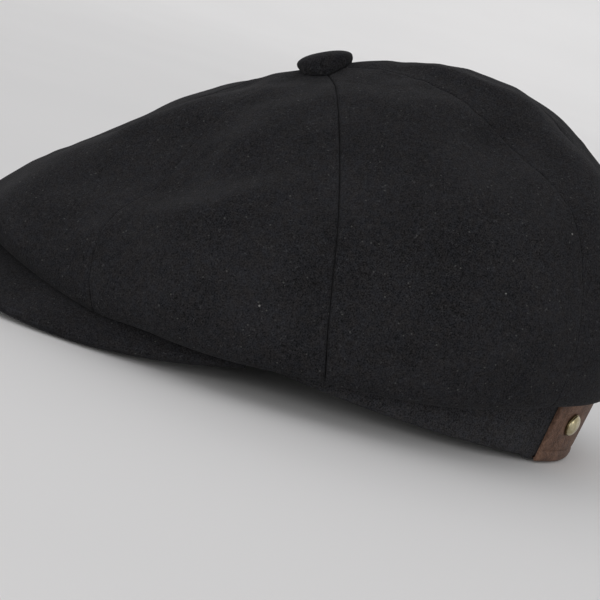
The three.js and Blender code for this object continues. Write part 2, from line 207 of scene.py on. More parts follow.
def smooth_table(values, t):
    """A table read at t with a rounded line between its entries."""
    span = np.clip(np.floor(t).astype(int), 0, len(values) - 2)
    slopes = np.gradient(values)
    return hermite(values[span], values[span + 1], slopes[span], slopes[span + 1], t - span)


def resample(values, places, axis):
    """Cubic reading of evenly spaced values at places counted in steps."""
    values = np.moveaxis(values, axis, 0)
    last = len(values) - 1
    base = np.clip(np.floor(places).astype(int), 0, last - 1)
    t = (places - base).reshape((-1,) + (1,) * (values.ndim - 1))
    p0, p1, p2, p3 = (values[np.clip(base + k, 0, last)] for k in (-1, 0, 1, 2))
    return np.moveaxis(hermite(p1, p2, (p2 - p0) / 2, (p3 - p1) / 2, t), 0, axis)


def grid_normals(grid, outward):
    """Unit normals of a grid of points, turned to the side that outward points to on the whole."""
    normals = unit(np.cross(np.gradient(grid, axis=1), np.gradient(grid, axis=0)))
    return -normals if np.sum(normals * outward) < 0 else normals


def side_distances(grid):
    """How far a grid's points are from the first point of their row, and from the last."""
    return size_of(grid - grid[:, :1]), size_of(grid - grid[:, -1:])


def polyline_distance(points, line):
    """Distance from each point to a polyline, and how far along the line, 0 to 1, it is nearest."""
    line = np.asarray(line, float)
    best = np.full(points.shape[:-1], 1e9)
    place = np.zeros(points.shape[:-1])
    starts = travelled(line) / travelled(line)[-1]
    for a, b, start, end in zip(line[:-1], line[1:], starts[:-1], starts[1:]):
        t = np.clip((points - a) @ (b - a) / ((b - a) @ (b - a)), 0, 1)
        distance = size_of(points - a - t[..., None] * (b - a))
        place = np.where(distance < best, start + t * (end - start), place)
        best = np.minimum(best, distance)
    return best, place


def edge_roll(distance, radius, depth):
    """How far a cloth edge has rolled down, at a distance from its seam line."""
    inside = np.clip(radius - distance, 0, radius)
    return depth * (1 - np.sqrt(np.maximum(0, 1 - (inside / radius) ** 2)))


EDGE_STEPS = np.array([0, 0.05, 0.13, 0.25, 0.42, 0.65, 1.0])


def edge_spaced(count, length, fine):
    """Places from 0 to 1 along a length, close together within fine of both ends."""
    near = EDGE_STEPS * fine / length
    middle = np.linspace(near[-1], 1 - near[-1], count)
    return np.concatenate([near[:-1], middle, 1 - near[-2::-1]])


def lean(angle):
    """How steeply the band leans out, which it does at the back."""
    return FLARE * np.minimum(0, np.cos(np.radians(angle))) ** 2


def hem(angle):
    """The height of the hem, which lifts over the brow."""
    return HEM_LIFT * np.maximum(0, np.cos(np.radians(angle))) ** 2


def ring(out, angle, height):
    """The point at a distance out from the head opening, at an angle and a height."""
    turn = np.radians(angle)
    reach = out + height * lean(angle)
    x = (OPENING_HALF_WIDTH + reach) * np.sin(turn)
    y = -(OPENING_HALF_LENGTH + reach) * np.cos(turn)
    return np.stack(np.broadcast_arrays(x, y, height), -1)


# ---- making meshes ----
def new_object(name, data):
    made = bpy.data.objects.new(name, data)
    bpy.context.scene.collection.objects.link(made)
    return made


def new_mesh(name, points, faces):
    mesh = bpy.data.meshes.new(name)
    mesh.from_pydata(np.asarray(points, float).tolist(), [], faces)
    return mesh


def mesh_object(name, node, points, faces, finish, sharp=40):
    """A piece of the cap, riding on the one body. It replaces a CAD node, if one is given."""
    material, slot = finish
    mesh = new_mesh(name, to_row(points), faces)
    mesh.materials.append(material)
    bm = bmesh.new()
    bm.from_mesh(mesh)
    bmesh.ops.recalc_face_normals(bm, faces=bm.faces)
    for face in bm.faces:
        face.smooth = True
    for edge in bm.edges:
        edge.smooth = edge.calc_face_angle(0) < math.radians(sharp)
    bm.to_mesh(mesh)
    bm.free()
    piece = new_object(name, mesh)
    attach(piece, "root")
    if node is not None:
        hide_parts(node)
    return piece


def tube_faces(rings, size, base=0, turned=False):
    """Quads between closed rings of points numbered from base. Turned, they face the other way."""
    here = base + np.arange(rings * size).reshape(rings, size)
    past = np.roll(here, -1, 1)
    corners = [here[:-1], past[:-1], past[1:], here[1:]]
    if turned:
        corners = corners[:1] + corners[:0:-1]
    return np.stack(corners, -1).reshape(-1, 4).tolist()


def rod_faces(rings, size, base=0):
    """The faces of a solid through rings of points, with a cap at each end."""
    last = base + (rings - 1) * size
    caps = [list(range(base, base + size))[::-1], list(range(last, last + size))]
    return tube_faces(rings, size, base) + caps


def rods_object(name, node, rods, finish):
    """One piece of solids, each a grid of rings of points, and all of the same shape."""
    rings, size = rods[0].shape[:2]
    faces = []
    for k in range(len(rods)):
        faces += rod_faces(rings, size, k * rings * size)
    return mesh_object(name, node, np.reshape(rods, (-1, 3)), faces, finish)


def sheet_faces(rows, columns):
    """Quads of a closed sheet whose points are a front grid and then a back grid."""
    grids = np.arange(2 * rows * columns).reshape(2, rows, columns)
    above, below = grids[:, :-1], grids[:, 1:]
    quads = np.stack([above[..., :-1], above[..., 1:], below[..., 1:], below[..., :-1]], -1)
    front, back = (
        np.concatenate([grid[0], grid[1:, -1], grid[-1, -2::-1], grid[-2:0:-1, 0]])
        for grid in grids
    )
    rim = np.stack([np.roll(front, -1), front, back, np.roll(back, -1)], -1)
    return [*quads[0].reshape(-1, 4), *quads[1, ..., ::-1].reshape(-1, 4), *rim]


def sheet_object(name, node, front, back, finish, sharp=60):
    points = np.concatenate([front.reshape(-1, 3), back.reshape(-1, 3)])
    return mesh_object(name, node, points, sheet_faces(*front.shape[:2]), finish, sharp)


def turned_object(name, node, outline, centre, axes, finish, segments, sharp, shape=None):
    """A turned piece. The outline, (radius, height) points, starts and ends on the axis."""
    outline = np.asarray(outline, float)
    turn = np.linspace(0, 2 * np.pi, segments, endpoint=False)
    inner = outline[1:-1]
    radius, height, angle = np.broadcast_arrays(inner[:, :1], inner[:, 1:], turn)
    if shape is not None:
        radius, height = shape(radius, height, angle)
    grid = np.stack([radius * np.cos(angle), radius * np.sin(angle), height], -1) @ np.stack(axes)
    tips = outline[[0, -1], 1:] * axes[2]
    tip = len(inner) * segments
    last = tip - segments
    faces = tube_faces(len(inner), segments)
    for i in range(segments):
        n = (i + 1) % segments
        faces += [[tip, i, n], [tip + 1, last + n, last + i]]
    points = centre + np.vstack([grid.reshape(-1, 3), tips])
    return mesh_object(name, node, points, faces, finish, sharp)


def ellipse_arc(centre, radii, start, end, steps):
    turn = np.radians(np.linspace(start, end, steps))
    return np.array(centre) + np.array(radii) * np.stack([np.cos(turn), np.sin(turn)], -1)


# ---- materials ----
class Finish:
    """A procedural material in the making, in object coordinates."""

    def __init__(self, name):
        self.material = bpy.data.materials.new(name)
        self.material.use_nodes = True
        self.nodes = self.material.node_tree.nodes
        self.shader = self.nodes["Principled BSDF"]
        self.place = self.nodes.new("ShaderNodeTexCoord").outputs["Object"]

    def fill(self, node, inputs):
        """Sets a node's inputs to numbers or colours, or links them to other nodes' outputs."""
        for name, value in inputs.items():
            socket = node.inputs[name]
            if isinstance(value, bpy.types.NodeSocket):
                self.material.node_tree.links.new(value, socket)
            elif isinstance(value, tuple):
                socket.default_value = (*value, 1)[:len(socket.default_value)]
            else:
                socket.default_value = value

    def add(self, kind, inputs, **settings):
        node = self.nodes.new(f"ShaderNode{kind}")
        for name, value in settings.items():
            setattr(node, name, value)
        self.fill(node, inputs)
        return node

    def noise(self, scale, detail, roughness):
        inputs = {"Vector": self.place, "Scale": scale, "Detail": detail, "Roughness": roughness}
        return self.add("TexNoise", inputs).outputs["Fac"]

    def cells(self, scale):
        return self.add("TexVoronoi", {"Vector": self.place, "Scale": scale}).outputs

    def ramp(self, source, *stops):
        node = self.add("ValToRGB", {"Fac": source})
        elements = node.color_ramp.elements
        while len(elements) < len(stops):
            elements.new(0.5)
        for element, (position, colour) in zip(elements, stops):
            element.position = position
            element.color = (*colour, 1)
        return node.outputs["Color"]

    def mix(self, factor, first, second, kind="MIX"):
        inputs = {0: factor, 6: first, 7: second}
        return self.add("Mix", inputs, data_type="RGBA", blend_type=kind).outputs[2]

    def maths(self, operation, *values, clamp=False):
        inputs = dict(enumerate(values))
        return self.add("Math", inputs, operation=operation, use_clamp=clamp).outputs[0]

    def varied(self, value, source, amount, clamp=False):
        """The value, raised or lowered by up to half the amount as the source says."""
        swing = self.maths("MULTIPLY_ADD", source, amount, -amount / 2)
        return self.maths("ADD", value, swing, clamp=clamp)

    def bump(self, height, strength, distance, below=None):
        inputs = {"Height": height, "Strength": strength, "Distance": distance}
        if below is not None:
            inputs["Normal"] = below
        normal = self.add("Bump", inputs).outputs["Normal"]
        self.fill(self.shader, {"Normal": normal})
        return normal

    def surface(self, colour, roughness, **others):
        """Fills the surface shader, and returns the finished material."""
        self.fill(self.shader, {"Base Color": colour, "Roughness": roughness})
        self.fill(self.shader, {name.replace("_", " "): others[name] for name in others})
        return self.material


def melton(name, dark, light):
    """Brushed wool: a matt felted nap with flecks, pale fibres and lint, and a faint sheen."""
    finish = Finish(name)
    blend = finish.varied(finish.noise(1700, 2, 0.65), finish.noise(520, 2, 0.55), 0.2)
    blend = finish.varied(blend, finish.noise(45, 2, 0.5), 0.2)
    middle = tuple((a + b) / 2 for a, b in zip(dark, light))
    colour = finish.ramp(blend, (0.33, dark), (0.5, middle), (0.7, light))
    warmth = finish.noise(300, 2, 0.6)
    tint = finish.ramp(warmth, (0.35, (0.96, 0.98, 1.05)), (0.65, (1.05, 1.0, 0.98)))
    colour = finish.mix(1.0, colour, tint, "MULTIPLY")

    # A strand lies where one noise crosses its middle, and is cut short by another.
    crossing = finish.maths("SUBTRACT", finish.noise(560, 1, 0.5), 0.5)
    strand = finish.maths("LESS_THAN", finish.maths("ABSOLUTE", crossing), 0.02)
    short = finish.maths("GREATER_THAN", finish.noise(430, 1, 0.5), 0.63)
    fibre = finish.maths("MULTIPLY", finish.maths("MULTIPLY", strand, short), 0.42)
    colour = finish.mix(fibre, colour, (0.055, 0.055, 0.057))

    # Lint is a spot in a few of the cells, picked by the cells' own random colours.
    for scale, size, share, tone in ((620, 0.22, 0.955, 0.05), (240, 0.1, 0.978, 0.15)):
        cells = finish.cells(scale)
        spot = finish.maths("LESS_THAN", cells["Distance"], size)
        chance = finish.add("SeparateColor", {"Color": cells["Color"]}).outputs[0]
        picked = finish.maths("GREATER_THAN", chance, share)
        speck = finish.maths("MULTIPLY", spot, picked)
        colour = finish.mix(speck, colour, (tone, tone, 0.97 * tone))

    rough = finish.bump(finish.noise(2600, 3, 0.7), 0.4, 0.0004)
    finish.bump(finish.noise(1000, 2, 0.6), 0.4, 0.0006, rough)
    return finish.surface(
        colour, 1.0, Specular_IOR_Level=0.1, Sheen_Weight=0.03, Sheen_Roughness=0.5,
        Sheen_Tint=(0.75, 0.75, 0.78),
    )


def leather():
    """Worn brown leather: fine grain, paler rubbed patches and darker pores."""
    finish = Finish("brown_leather")
    mottle = finish.noise(210, 4, 0.65)
    blend = finish.varied(mottle, finish.noise(1100, 3, 0.7), 0.7)
    colour = finish.ramp(
        blend, (0.28, (0.056, 0.028, 0.018)), (0.5, (0.104, 0.056, 0.037)),
        (0.72, (0.17, 0.10, 0.069)),
    )
    grain = finish.cells(1300)["Distance"]
    pore = finish.maths("POWER", grain, 0.7)
    shade = finish.ramp(pore, (0.0, (0.7, 0.68, 0.66)), (0.6, (1.08, 1.07, 1.06)))
    colour = finish.mix(1.0, colour, shade, "MULTIPLY")
    under = finish.bump(grain, 0.5, 0.0005)
    finish.bump(finish.noise(420, 3, 0.6), 0.4, 0.0008, under)
    gloss = finish.maths("MULTIPLY_ADD", mottle, 0.25, 0.5)
    return finish.surface(colour, gloss, Specular_IOR_Level=0.25)


def metal(name, colour, worn, roughness):
    """Metal with a patina and fine scuffs."""
    finish = Finish(name)
    patina = finish.ramp(finish.noise(420, 4, 0.65), (0.32, worn), (0.62, colour))
    scuffs = finish.noise(900, 4, 0.7)
    finish.bump(scuffs, 0.12, 0.0002)
    gloss = finish.maths("MULTIPLY_ADD", scuffs, 0.3, roughness - 0.12)
    return finish.surface(patina, gloss, Metallic=1.0)


def grosgrain():
    """A black ribbon with fine ribs that run up and down round the head opening."""
    ribs = 620
    finish = Finish("black_grosgrain")
    inputs = {0: finish.place, 1: tuple(ORIGIN / 1000)}
    centred = finish.add("VectorMath", inputs, operation="SUBTRACT").outputs[0]
    turn = finish.add("TexGradient", {"Vector": centred}, gradient_type="RADIAL").outputs["Fac"]
    wave = finish.maths("SINE", finish.maths("MULTIPLY", turn, 2 * math.pi * ribs))
    wave = finish.maths("MULTIPLY_ADD", wave, 0.5, 0.5)
    blend = finish.varied(wave, finish.noise(2200, 3, 0.6), 0.5, clamp=True)
    finish.bump(blend, 0.5, 0.0004)
    colour = finish.ramp(blend, (0.1, (0.007, 0.007, 0.008)), (0.9, (0.024, 0.024, 0.026)))
    return finish.surface(colour, 0.8, Sheen_Weight=0.15)


def woven(name, dark, light, threads, roughness, sheen, strength):
    """A fine plain weave, from two crossed waves."""
    finish = Finish(name)
    inputs = {"Vector": finish.place, "Scale": threads, "Distortion": 0.6, "Detail Scale": 4}
    weave = finish.maths("MULTIPLY", *(
        finish.add("TexWave", inputs, bands_direction=way).outputs["Fac"] for way in ("X", "Z")
    ))
    cloud = finish.maths("MULTIPLY_ADD", finish.noise(140, 3, 0.6), 0.6, -0.2)
    blend = finish.maths("ADD", weave, cloud, clamp=True)
    finish.bump(weave, strength, 0.0003)
    colour = finish.ramp(blend, (0.1, dark), (0.9, light))
    return finish.surface(colour, roughness, Sheen_Weight=sheen)


def card():
    """Pressed grey-brown pulp board."""
    finish = Finish("brim_board_card")
    pulp = finish.noise(700, 5, 0.7)
    finish.bump(pulp, 0.3, 0.0004)
    colour = finish.ramp(pulp, (0.3, (0.2, 0.17, 0.13)), (0.7, (0.33, 0.29, 0.22)))
    return finish.surface(colour, 0.85)


def paper():
    finish = Finish("studio_paper")
    tooth = finish.noise(3, 2, 0.5)
    colour = finish.ramp(tooth, (0.2, (0.79, 0.785, 0.78)), (0.8, (0.82, 0.815, 0.81)))
    return finish.surface(colour, 0.95)


# The finishes of the cap's pieces, each with the record's slot that it stands for
MELTON = melton("black_melton", (0.0035, 0.0035, 0.0038), (0.0245, 0.0245, 0.026)), "melton"
# The band's copy of the wool is painted nearly twice as light as the crown's. This painted light
# lifts the band out of the shade under the crown's overhang.
MELTON_BAND_PAINTED_LIGHT = melton("black_melton_band_painted_light", (0.008, 0.008, 0.0086), (0.046, 0.046, 0.048)), "melton"
SATIN = woven(
    "black_satin", (0.008, 0.008, 0.009), (0.02, 0.02, 0.022), 380, 0.42, 0.2, 0.12,
), "lining"
GROSGRAIN = grosgrain(), "sweatband"
CANVAS = woven(
    "interlining_canvas", (0.42, 0.40, 0.35), (0.62, 0.60, 0.54), 260, 0.95, 0.05, 0.4,
), "interlining"
LABEL = woven("grey_label", (0.05, 0.05, 0.052), (0.11, 0.11, 0.115), 520, 0.6, 0.2, 0.3), "label"
THREAD = woven(
    "black_thread", (0.015, 0.015, 0.016), (0.045, 0.045, 0.048), 900, 0.7, 0.3, 0.2,
), "label"
LEATHER = leather(), "leather"
CARD = card(), "board"
BRASS = metal("pale_brass", (0.62, 0.56, 0.38), (0.40, 0.34, 0.19), 0.2), "brass"
BRASS_DARK = metal("aged_brass", (0.22, 0.17, 0.08), (0.09, 0.065, 0.03), 0.4), "brass"
STEEL = metal("zinc_steel", (0.62, 0.62, 0.6), (0.4, 0.4, 0.4), 0.35), "button_metal"


# ---- the crown ----
CROWN_MIDDLE = np.array([0.0, -20.0, 40.0])


def hub_points():
    """Where the seams meet under the button."""
    angle = 2 * math.pi / GORES * np.arange(GORES)[:, None]
    offsets = np.cos(angle) * BUTTON_FORWARD - np.sin(angle) * BUTTON_ACROSS
    return BUTTON_CENTRE + HUB_RADIUS * offsets


def seam_points():
    """Every seam's points, from the centre front round the left side and back by the right."""
    seams = []
    for seam, hub in enumerate(hub_points()):
        mirrored = seam > GORES // 2
        stations = np.array(SEAM_STATIONS[GORES - seam if mirrored else seam], float)
        if mirrored:
            stations = stations * [-1, 1, 1]
        seams.append(np.vstack([hub, stations]))
    return seams


def gore_plain(seams, gore, u, t):
    """The crown between two seams: u across the gore, t in stations. Returns a grid."""
    curves = np.stack([open_spline(seam, t) for seam in seams], 1)
    around = (curves[:, (gore + k) % GORES][:, None, :] for k in (-1, 0, 1, 2))
    return spline_span(*around, u[None, :, None])


def gore_surface(seams, gore, u, t):
    """The swelled gore, without its folds or its settling."""
    plain = gore_plain(seams, gore, u, t)
    normals = grid_normals(plain, plain - CROWN_MIDDLE)
    arch = 0.35 * (1 - (2 * u - 1) ** 2) + 0.65 * np.sin(np.pi * u) ** 2
    bulge = smooth_table(PUFF, t)[:, None] * arch[None, :]
    return plain + bulge[..., None] * normals


# Soft folds pressed into the crown: a line through the cloth, then the fold's half width and
# height at its middle. A negative height is a hollow.
FOLDS = [
    # the ridge round the front corner of the left side
    ([(78.5, -95.4, 26), (76.5, -92, 31), (76, -86, 36), (80, -76.7, 41), (86, -65.4, 45),
      (88.5, -55.1, 49.5), (85, -46.7, 59), (81, -36.3, 67), (78, -27.8, 73)], 6.5, 2.2),
    # the hollow above it
    ([(70, -73, 52), (74, -61, 60), (71, -52, 69), (66, -44, 79)], 12, -2.4),
    # the crease beside the front side seam, and its hollow
    ([(70, -80, 50), (61, -76, 62), (52, -70, 73)], 3.5, 0.7),
    ([(67, -76, 55), (59, -71, 66), (52, -66, 75)], 3.0, -0.5),
    # the crest over the left brow, a soft band under it, and the crest beside the brow's middle
    ([(22, -140, 34), (26, -124, 48), (27, -108, 61), (30, -91, 73), (26.5, -74.6, 86),
      (19, -58, 98)], 10, 3.0),
    ([(28, -92, 72), (38, -67, 84), (38.6, -57, 92), (38.7, -46, 98), (39, -37, 101)], 7, 0.7),
    ([(4, -156, 22), (8, -142, 34), (9, -128, 47), (9, -116, 58)], 15, 2.6),
    # the hollow along the centre front seam, and the crest beyond it
    ([(4, -122, 52), (6, -104, 68), (7, -88, 81), (6, -72, 95)], 9, -2.2),
    ([(-8, -140, 38), (-14, -120, 58), (-18, -104, 70), (-20, -88, 82), (-14, -68, 97)], 13, 5.2),
    # two hollows at the back, the crest over the top, and a crest and a hollow beyond it
    ([(4, 62, 121), (4, 74, 113), (4, 86, 101), (3, 97, 81), (2, 108, 58)], 13, -3.3),
    ([(14, 56, 124), (17, 64, 121), (20, 74, 115), (22, 88, 97)], 12, -2.4),
    ([(0, 0, 129), (0, 22, 130), (0, 44, 128)], 13, 2.2),
    ([(-15, 34, 129), (-17, 46, 127), (-19, 60, 123)], 11, 1.4),
    ([(-18, 65, 121), (-22, 76, 114), (-26, 90, 97)], 14, -3.6),
    # the right side's folds
    ([(-79, -93, 27), (-77, -87, 38), (-82, -72, 46), (-87, -58, 52), (-84, -44, 62)], 8, 1.4),
    ([(-67, -70, 58), (-68, -58, 68), (-63, -48, 80)], 14, -1.5),
    # shallow waves in the sides, back and front
    ([(98, 20, 62), (92, 42, 66), (82, 62, 70)], 15, -1.2),
    ([(-98, 16, 66), (-92, 40, 70), (-80, 64, 68)], 14, -1.4),
    ([(20, 100, 66), (44, 98, 60), (60, 94, 62)], 12, -0.9),
    ([(-12, 104, 70), (-38, 101, 58), (-58, 96, 64)], 12, -1.0),
    ([(24, -128, 44), (40, -128, 36), (56, -122, 28)], 14, -1.2),
    ([(-22, -130, 42), (-40, -126, 36), (-58, -114, 32)], 14, -1.0),
]


def fold_heights(points):
    total = np.zeros(points.shape[:-1])
    for line, width, height in FOLDS:
        distance, place = polyline_distance(points, line)
        fade = np.sin(np.pi * np.clip(0.12 + 0.76 * place, 0, 1)) ** 0.6
        total += height * fade * bell(distance, width)
    return total


def station_rows(seams):
    """Where the crown's rows of points lie: close together where a gore bends sharply."""
    row_spacing, row_bend, smoothing = 2.1, 0.16, 41
    t = np.linspace(0, STATIONS, 1801)
    density = np.zeros(len(t))
    for seam in seams:
        step = np.gradient(open_spline(seam, t), t, axis=0)
        bend = size_of(np.gradient(unit(step), t, axis=0))
        density = np.maximum(density, size_of(step) / row_spacing + bend / row_bend)
    padded = np.pad(density, smoothing // 2, "edge")
    density = np.convolve(padded, np.ones(smoothing) / smoothing, "valid")
    total = np.concatenate([[0], np.cumsum((density[1:] + density[:-1]) / 2 * np.diff(t))])
    return np.interp(np.linspace(0, total[-1], int(total[-1]) + 1), total, t)


SIM_COLUMNS = 12
SIM_ROWS = 44
SIM_FRAMES = 24
SIM_CAP = 2.5
SIM_FREE_STATIONS = (0.6, 6.4)
SEAM_HOLD = 0.6
CLOTH_HOLD = 0.12
CLOTH_SETTINGS = {
    "quality": 6, "mass": 0.3, "tension_stiffness": 12, "compression_stiffness": 8,
    "shear_stiffness": 5, "bending_stiffness": 1.2, "tension_damping": 8,
    "compression_damping": 8, "air_damping": 3, "vertex_group_mass": "pinned",
    "pin_stiffness": 12, "shrink_min": -0.02, "use_pressure": True,
    "uniform_pressure_force": 0.25,
}


def settle(seams):
    """Lets the whole crown settle as one cloth. Returns how each gore's points moved."""
    u = np.linspace(0, 1, SIM_COLUMNS + 1)
    t = np.linspace(0, STATIONS, SIM_ROWS + 1)
    around = GORES * SIM_COLUMNS
    points = np.concatenate([gore_surface(seams, gore, u, t)[:, :-1] for gore in range(GORES)], 1)
    faces = tube_faces(SIM_ROWS + 1, around, turned=True)
    mesh = new_mesh("settling_cloth", to_row(points.reshape(-1, 3)), faces)
    cloth = new_object("settling_cloth", mesh)
    pins = cloth.vertex_groups.new(name="pinned")
    for j, station in enumerate(t):
        fixed = not SIM_FREE_STATIONS[0] <= station <= SIM_FREE_STATIONS[1]
        for i in range(around):
            hold = SEAM_HOLD if i % SIM_COLUMNS == 0 else CLOTH_HOLD
            pins.add([j * around + i], 1 if fixed else hold, "REPLACE")
    modifier = cloth.modifiers.new("cloth", "CLOTH")
    for name, value in CLOTH_SETTINGS.items():
        setattr(modifier.settings, name, value)
    modifier.settings.effector_weights.gravity = 0.3
    modifier.collision_settings.use_collision = False
    modifier.collision_settings.use_self_collision = False
    modifier.point_cache.frame_start = 1
    modifier.point_cache.frame_end = SIM_FRAMES
    scene = bpy.context.scene
    for frame_number in range(1, SIM_FRAMES + 1):
        scene.frame_set(frame_number)
    evaluated = cloth.evaluated_get(bpy.context.evaluated_depsgraph_get())
    settled = np.zeros(points.size)
    evaluated.data.vertices.foreach_get("co", settled)
    moved = np.nan_to_num(from_row(settled.reshape(-1, 3)).reshape(points.shape) - points)
    bpy.data.objects.remove(cloth)
    bpy.data.meshes.remove(mesh)
    scene.frame_set(1)

    size = size_of(moved)[..., None]
    moved *= SIM_CAP * np.tanh(size / SIM_CAP) / np.maximum(size, 1e-9)
    moved = (np.roll(moved, 1, 1) + 2 * moved + np.roll(moved, -1, 1)) / 4
    moved[1:-1] = (moved[:-2] + 2 * moved[1:-1] + moved[2:]) / 4
    wrapped = np.concatenate([moved, moved[:, :1]], 1)
    starts = SIM_COLUMNS * np.arange(GORES)
    return [wrapped[:, start:start + SIM_COLUMNS + 1] for start in starts]


def button_dip(points):
    """How the cloth falls away on both sides of the button's seat."""
    offset = points - BUTTON_CENTRE
    across = offset @ BUTTON_ACROSS
    radius = np.hypot(across, offset @ BUTTON_FORWARD)
    share = (across / np.maximum(radius, 1e-6)) ** 2
    depth = smoothstep(radius, 2.8, 9) * (1 - smoothstep(radius, 14, 34))
    return -(BUTTON_DIP * share * depth)[..., None] * BUTTON_OUTWARD


SEAM_REACH = 1.25
# How deep the cloth turns down into each seam at four stations, from the centre front
SEAM_DEPTH_STATIONS = [0, 3, 5, 9]
SEAM_DEPTHS = [
    (0.6, 0.9, 1.1, 1.0), (0.1, 0.2, 0.8, 0.9), (1.4, 1.9, 2.0, 1.7), (0.15, 1.0, 0.45, 0.2),
    (0.8, 1.0, 1.0, 1.0), (0.15, 0.8, 0.4, 0.25), (1.4, 1.9, 2.0, 1.7), (0.15, 0.4, 0.7, 0.8),
]
PUCKER_HEIGHT = 0.16
PUCKER_REACH = 4.0
PUCKER_WAVES = (11, 17.3)


def pucker(edge, from_seam, seam):
    """The stitches draw the cloth in a little unevenly along a seam."""
    along = 2 * np.pi * travelled(edge)
    first, second = PUCKER_WAVES
    wave = np.sin(along / first + seam) + 0.8 * np.sin(along / second + 2 * seam)
    return PUCKER_HEIGHT * wave[:, None] * bell(from_seam, PUCKER_REACH)


def overhang(points, t):
    """How far the crown's turned edge hangs lower over the brim, and higher over the tab."""
    x, y = points[..., 0], points[..., 1]
    front = smoothstep(t, 4.0, 6.0) * (1 - smoothstep(t, 7.3, 8.6))
    back = smoothstep(t, 4.8, 6.2) * (1 - smoothstep(t, 7.6, 8.8))
    drop = BROW_DROP + BROW_MIDDLE_DROP * bell(x, BROW_MIDDLE_SPREAD)
    return (
        -drop * smoothstep(-y, 58, 88) * front[:, None]
        + NAPE_LIFT * smoothstep(y, 55, 112) * back[:, None]
    )


def add_crown():
    """Makes the eight gores, and returns the points of the crown's outside."""
    seams = seam_points()
    t = station_rows(seams)
    u = edge_spaced(44, 78, 2.2)
    settled = settle(seams)
    fade = smoothstep(t, 0.3, 1.5) * (1 - smoothstep(t, 5.6, 6.6))
    turned_under = t[:, None, None] >= 6.3
    crown_skin = []
    for gore, name in enumerate(GORE_NAMES):
        surface = gore_surface(seams, gore, u, t)
        outwards = unit(surface - CROWN_MIDDLE)
        surface = surface + (fold_heights(surface) * fade[:, None])[..., None] * outwards
        move = resample(settled[gore], t / STATIONS * SIM_ROWS, 0)
        surface = surface + resample(move, u * SIM_COLUMNS, 1) * fade[:, None, None]
        surface = surface + button_dip(surface)
        surface[..., 2] += overhang(surface, t)
        from_seams = side_distances(surface)
        drop = np.zeros(surface.shape[:2])
        for side, from_seam in enumerate(from_seams):
            # The first side lies at column 0 and at seam gore, the second at -1 and gore + 1.
            seam = gore + side
            depth = np.interp(t, SEAM_DEPTH_STATIONS, SEAM_DEPTHS[seam % GORES])
            depth = depth * (0.85 + 0.15 * np.sin(4.7 * t + 2 * seam))
            drop += edge_roll(from_seam, SEAM_REACH, depth[:, None])
            drop += pucker(surface[:, -side], from_seam, seam % GORES) * fade[:, None]

        # Beside a seam, both gores take a direction that they share.
        normals = grid_normals(surface, surface - CROWN_MIDDLE)
        own = smoothstep(np.minimum(*from_seams), 0, 3)[..., None]
        shared = np.where(turned_under, normals, outwards)
        through = unit(own * normals + (1 - own) * shared)
        front = surface - drop[..., None] * through
        back = surface - CLOTH_THICKNESS * through
        crown_skin.append(front.reshape(-1, 3))
        piece = sheet_object(f"wool_crown_{name}", f"crown_{name}", front, back, MELTON)
        gore_plain(seams, gore, u, t)
    return np.concatenate(crown_skin)


# ---- the lining ----
LINING_SCALE = 0.92
LINING_STATIONS = 7
LINING_HUB_SHARE = 0.12
LINING_END_OUT, LINING_END_LIFT = 1.2, 1.6


def lining_seams():
    """The crown's seams drawn in towards its middle, and led to the top of the band."""
    t = np.arange(LINING_STATIONS - 1)
    hub = (BUTTON_CENTRE - CROWN_MIDDLE) * LINING_SCALE + CROWN_MIDDLE
    seams = []
    for seam, stations in enumerate(seam_points()):
        upper = (open_spline(stations, t) - CROWN_MIDDLE) * LINING_SCALE + CROWN_MIDDLE
        upper[0] = hub + LINING_HUB_SHARE * (upper[0] - hub)
        end = ring(LINING_END_OUT, 360 / GORES * seam, BAND_HEIGHT + LINING_END_LIFT)
        middle = (upper[-1] + end) / 2 + [0, 0, 5]
        seams.append(np.vstack([upper, middle, end]))
    return seams


def add_lining():
    seams = lining_seams()
    t = np.linspace(0, LINING_STATIONS, 64)
    u = edge_spaced(22, 70, 3)
    row, column = t[:, None], u[None, :]
    envelope = np.sin(np.pi * row / LINING_STATIONS) * np.sin(np.pi * column)
    for gore, name in enumerate(GORE_NAMES):
        plain = gore_plain(seams, gore, u, t)
        normals = grid_normals(plain, plain - CROWN_MIDDLE)
        ripple = np.sin(3.1 * row + 5.0 * column + 1.7 * gore)
        ripple = ripple + 0.6 * np.sin(-1.9 * row + 11 * column + gore)
        surface = plain - (envelope * (1.2 + 0.7 * ripple))[..., None] * normals
        rise = edge_roll(np.minimum(*side_distances(surface)), 1.2, 0.5)
        back = surface - (LINING - rise)[..., None] * normals
        piece = sheet_object(f"satin_lining_{name}", f"lining_{name}", surface, back, SATIN)


# ---- the band, sweatband and label ----
def rounded_section(inner, outer, bottom, top, steps):
    """A strip's outline: straight sides, and half-round lower and upper edges."""
    half = (outer - inner) / 2
    turn = np.linspace(0, math.pi, 2 * steps + 1)
    side = np.linspace(bottom + half, top - half, 14)[1:-1]
    out = np.concatenate([-np.cos(turn), 1 + 0 * side, np.cos(turn), 0 * side - 1])
    low, high = bottom + half - half * np.sin(turn), top - half + half * np.sin(turn)
    return (inner + outer) / 2 + half * out, np.concatenate([low, side, high, side[::-1]])


def band_section(angle):
    """The band's outline, with a topstitched groove, a little sway, and a nick beside the tab."""
    low = hem(angle)
    out, height = rounded_section(BAND_IN, BAND_OUT, low, BAND_HEIGHT, 5)
    past_tab = 180 - abs(angle) - TAB_HALF_ANGLE
    clear = smoothstep(past_tab, 1, 12)
    turn = math.radians(angle)
    sway = 0.22 * math.sin(5 * turn + 0.4) + 0.16 * math.sin(11 * turn) - 0.2
    corner = smoothstep(past_tab, 0.4, 1.4) * (1 - smoothstep(past_tab, 2.5, 6))
    height = height - 1.5 * corner * (1 - smoothstep(height, low, low + 6))
    outside = smoothstep(out, BAND_IN + 0.6, BAND_OUT)
    groove = 0.3 * bell(height - low - 2.9, 0.55)
    return out + outside * clear * (sway * 0.6 - groove), height


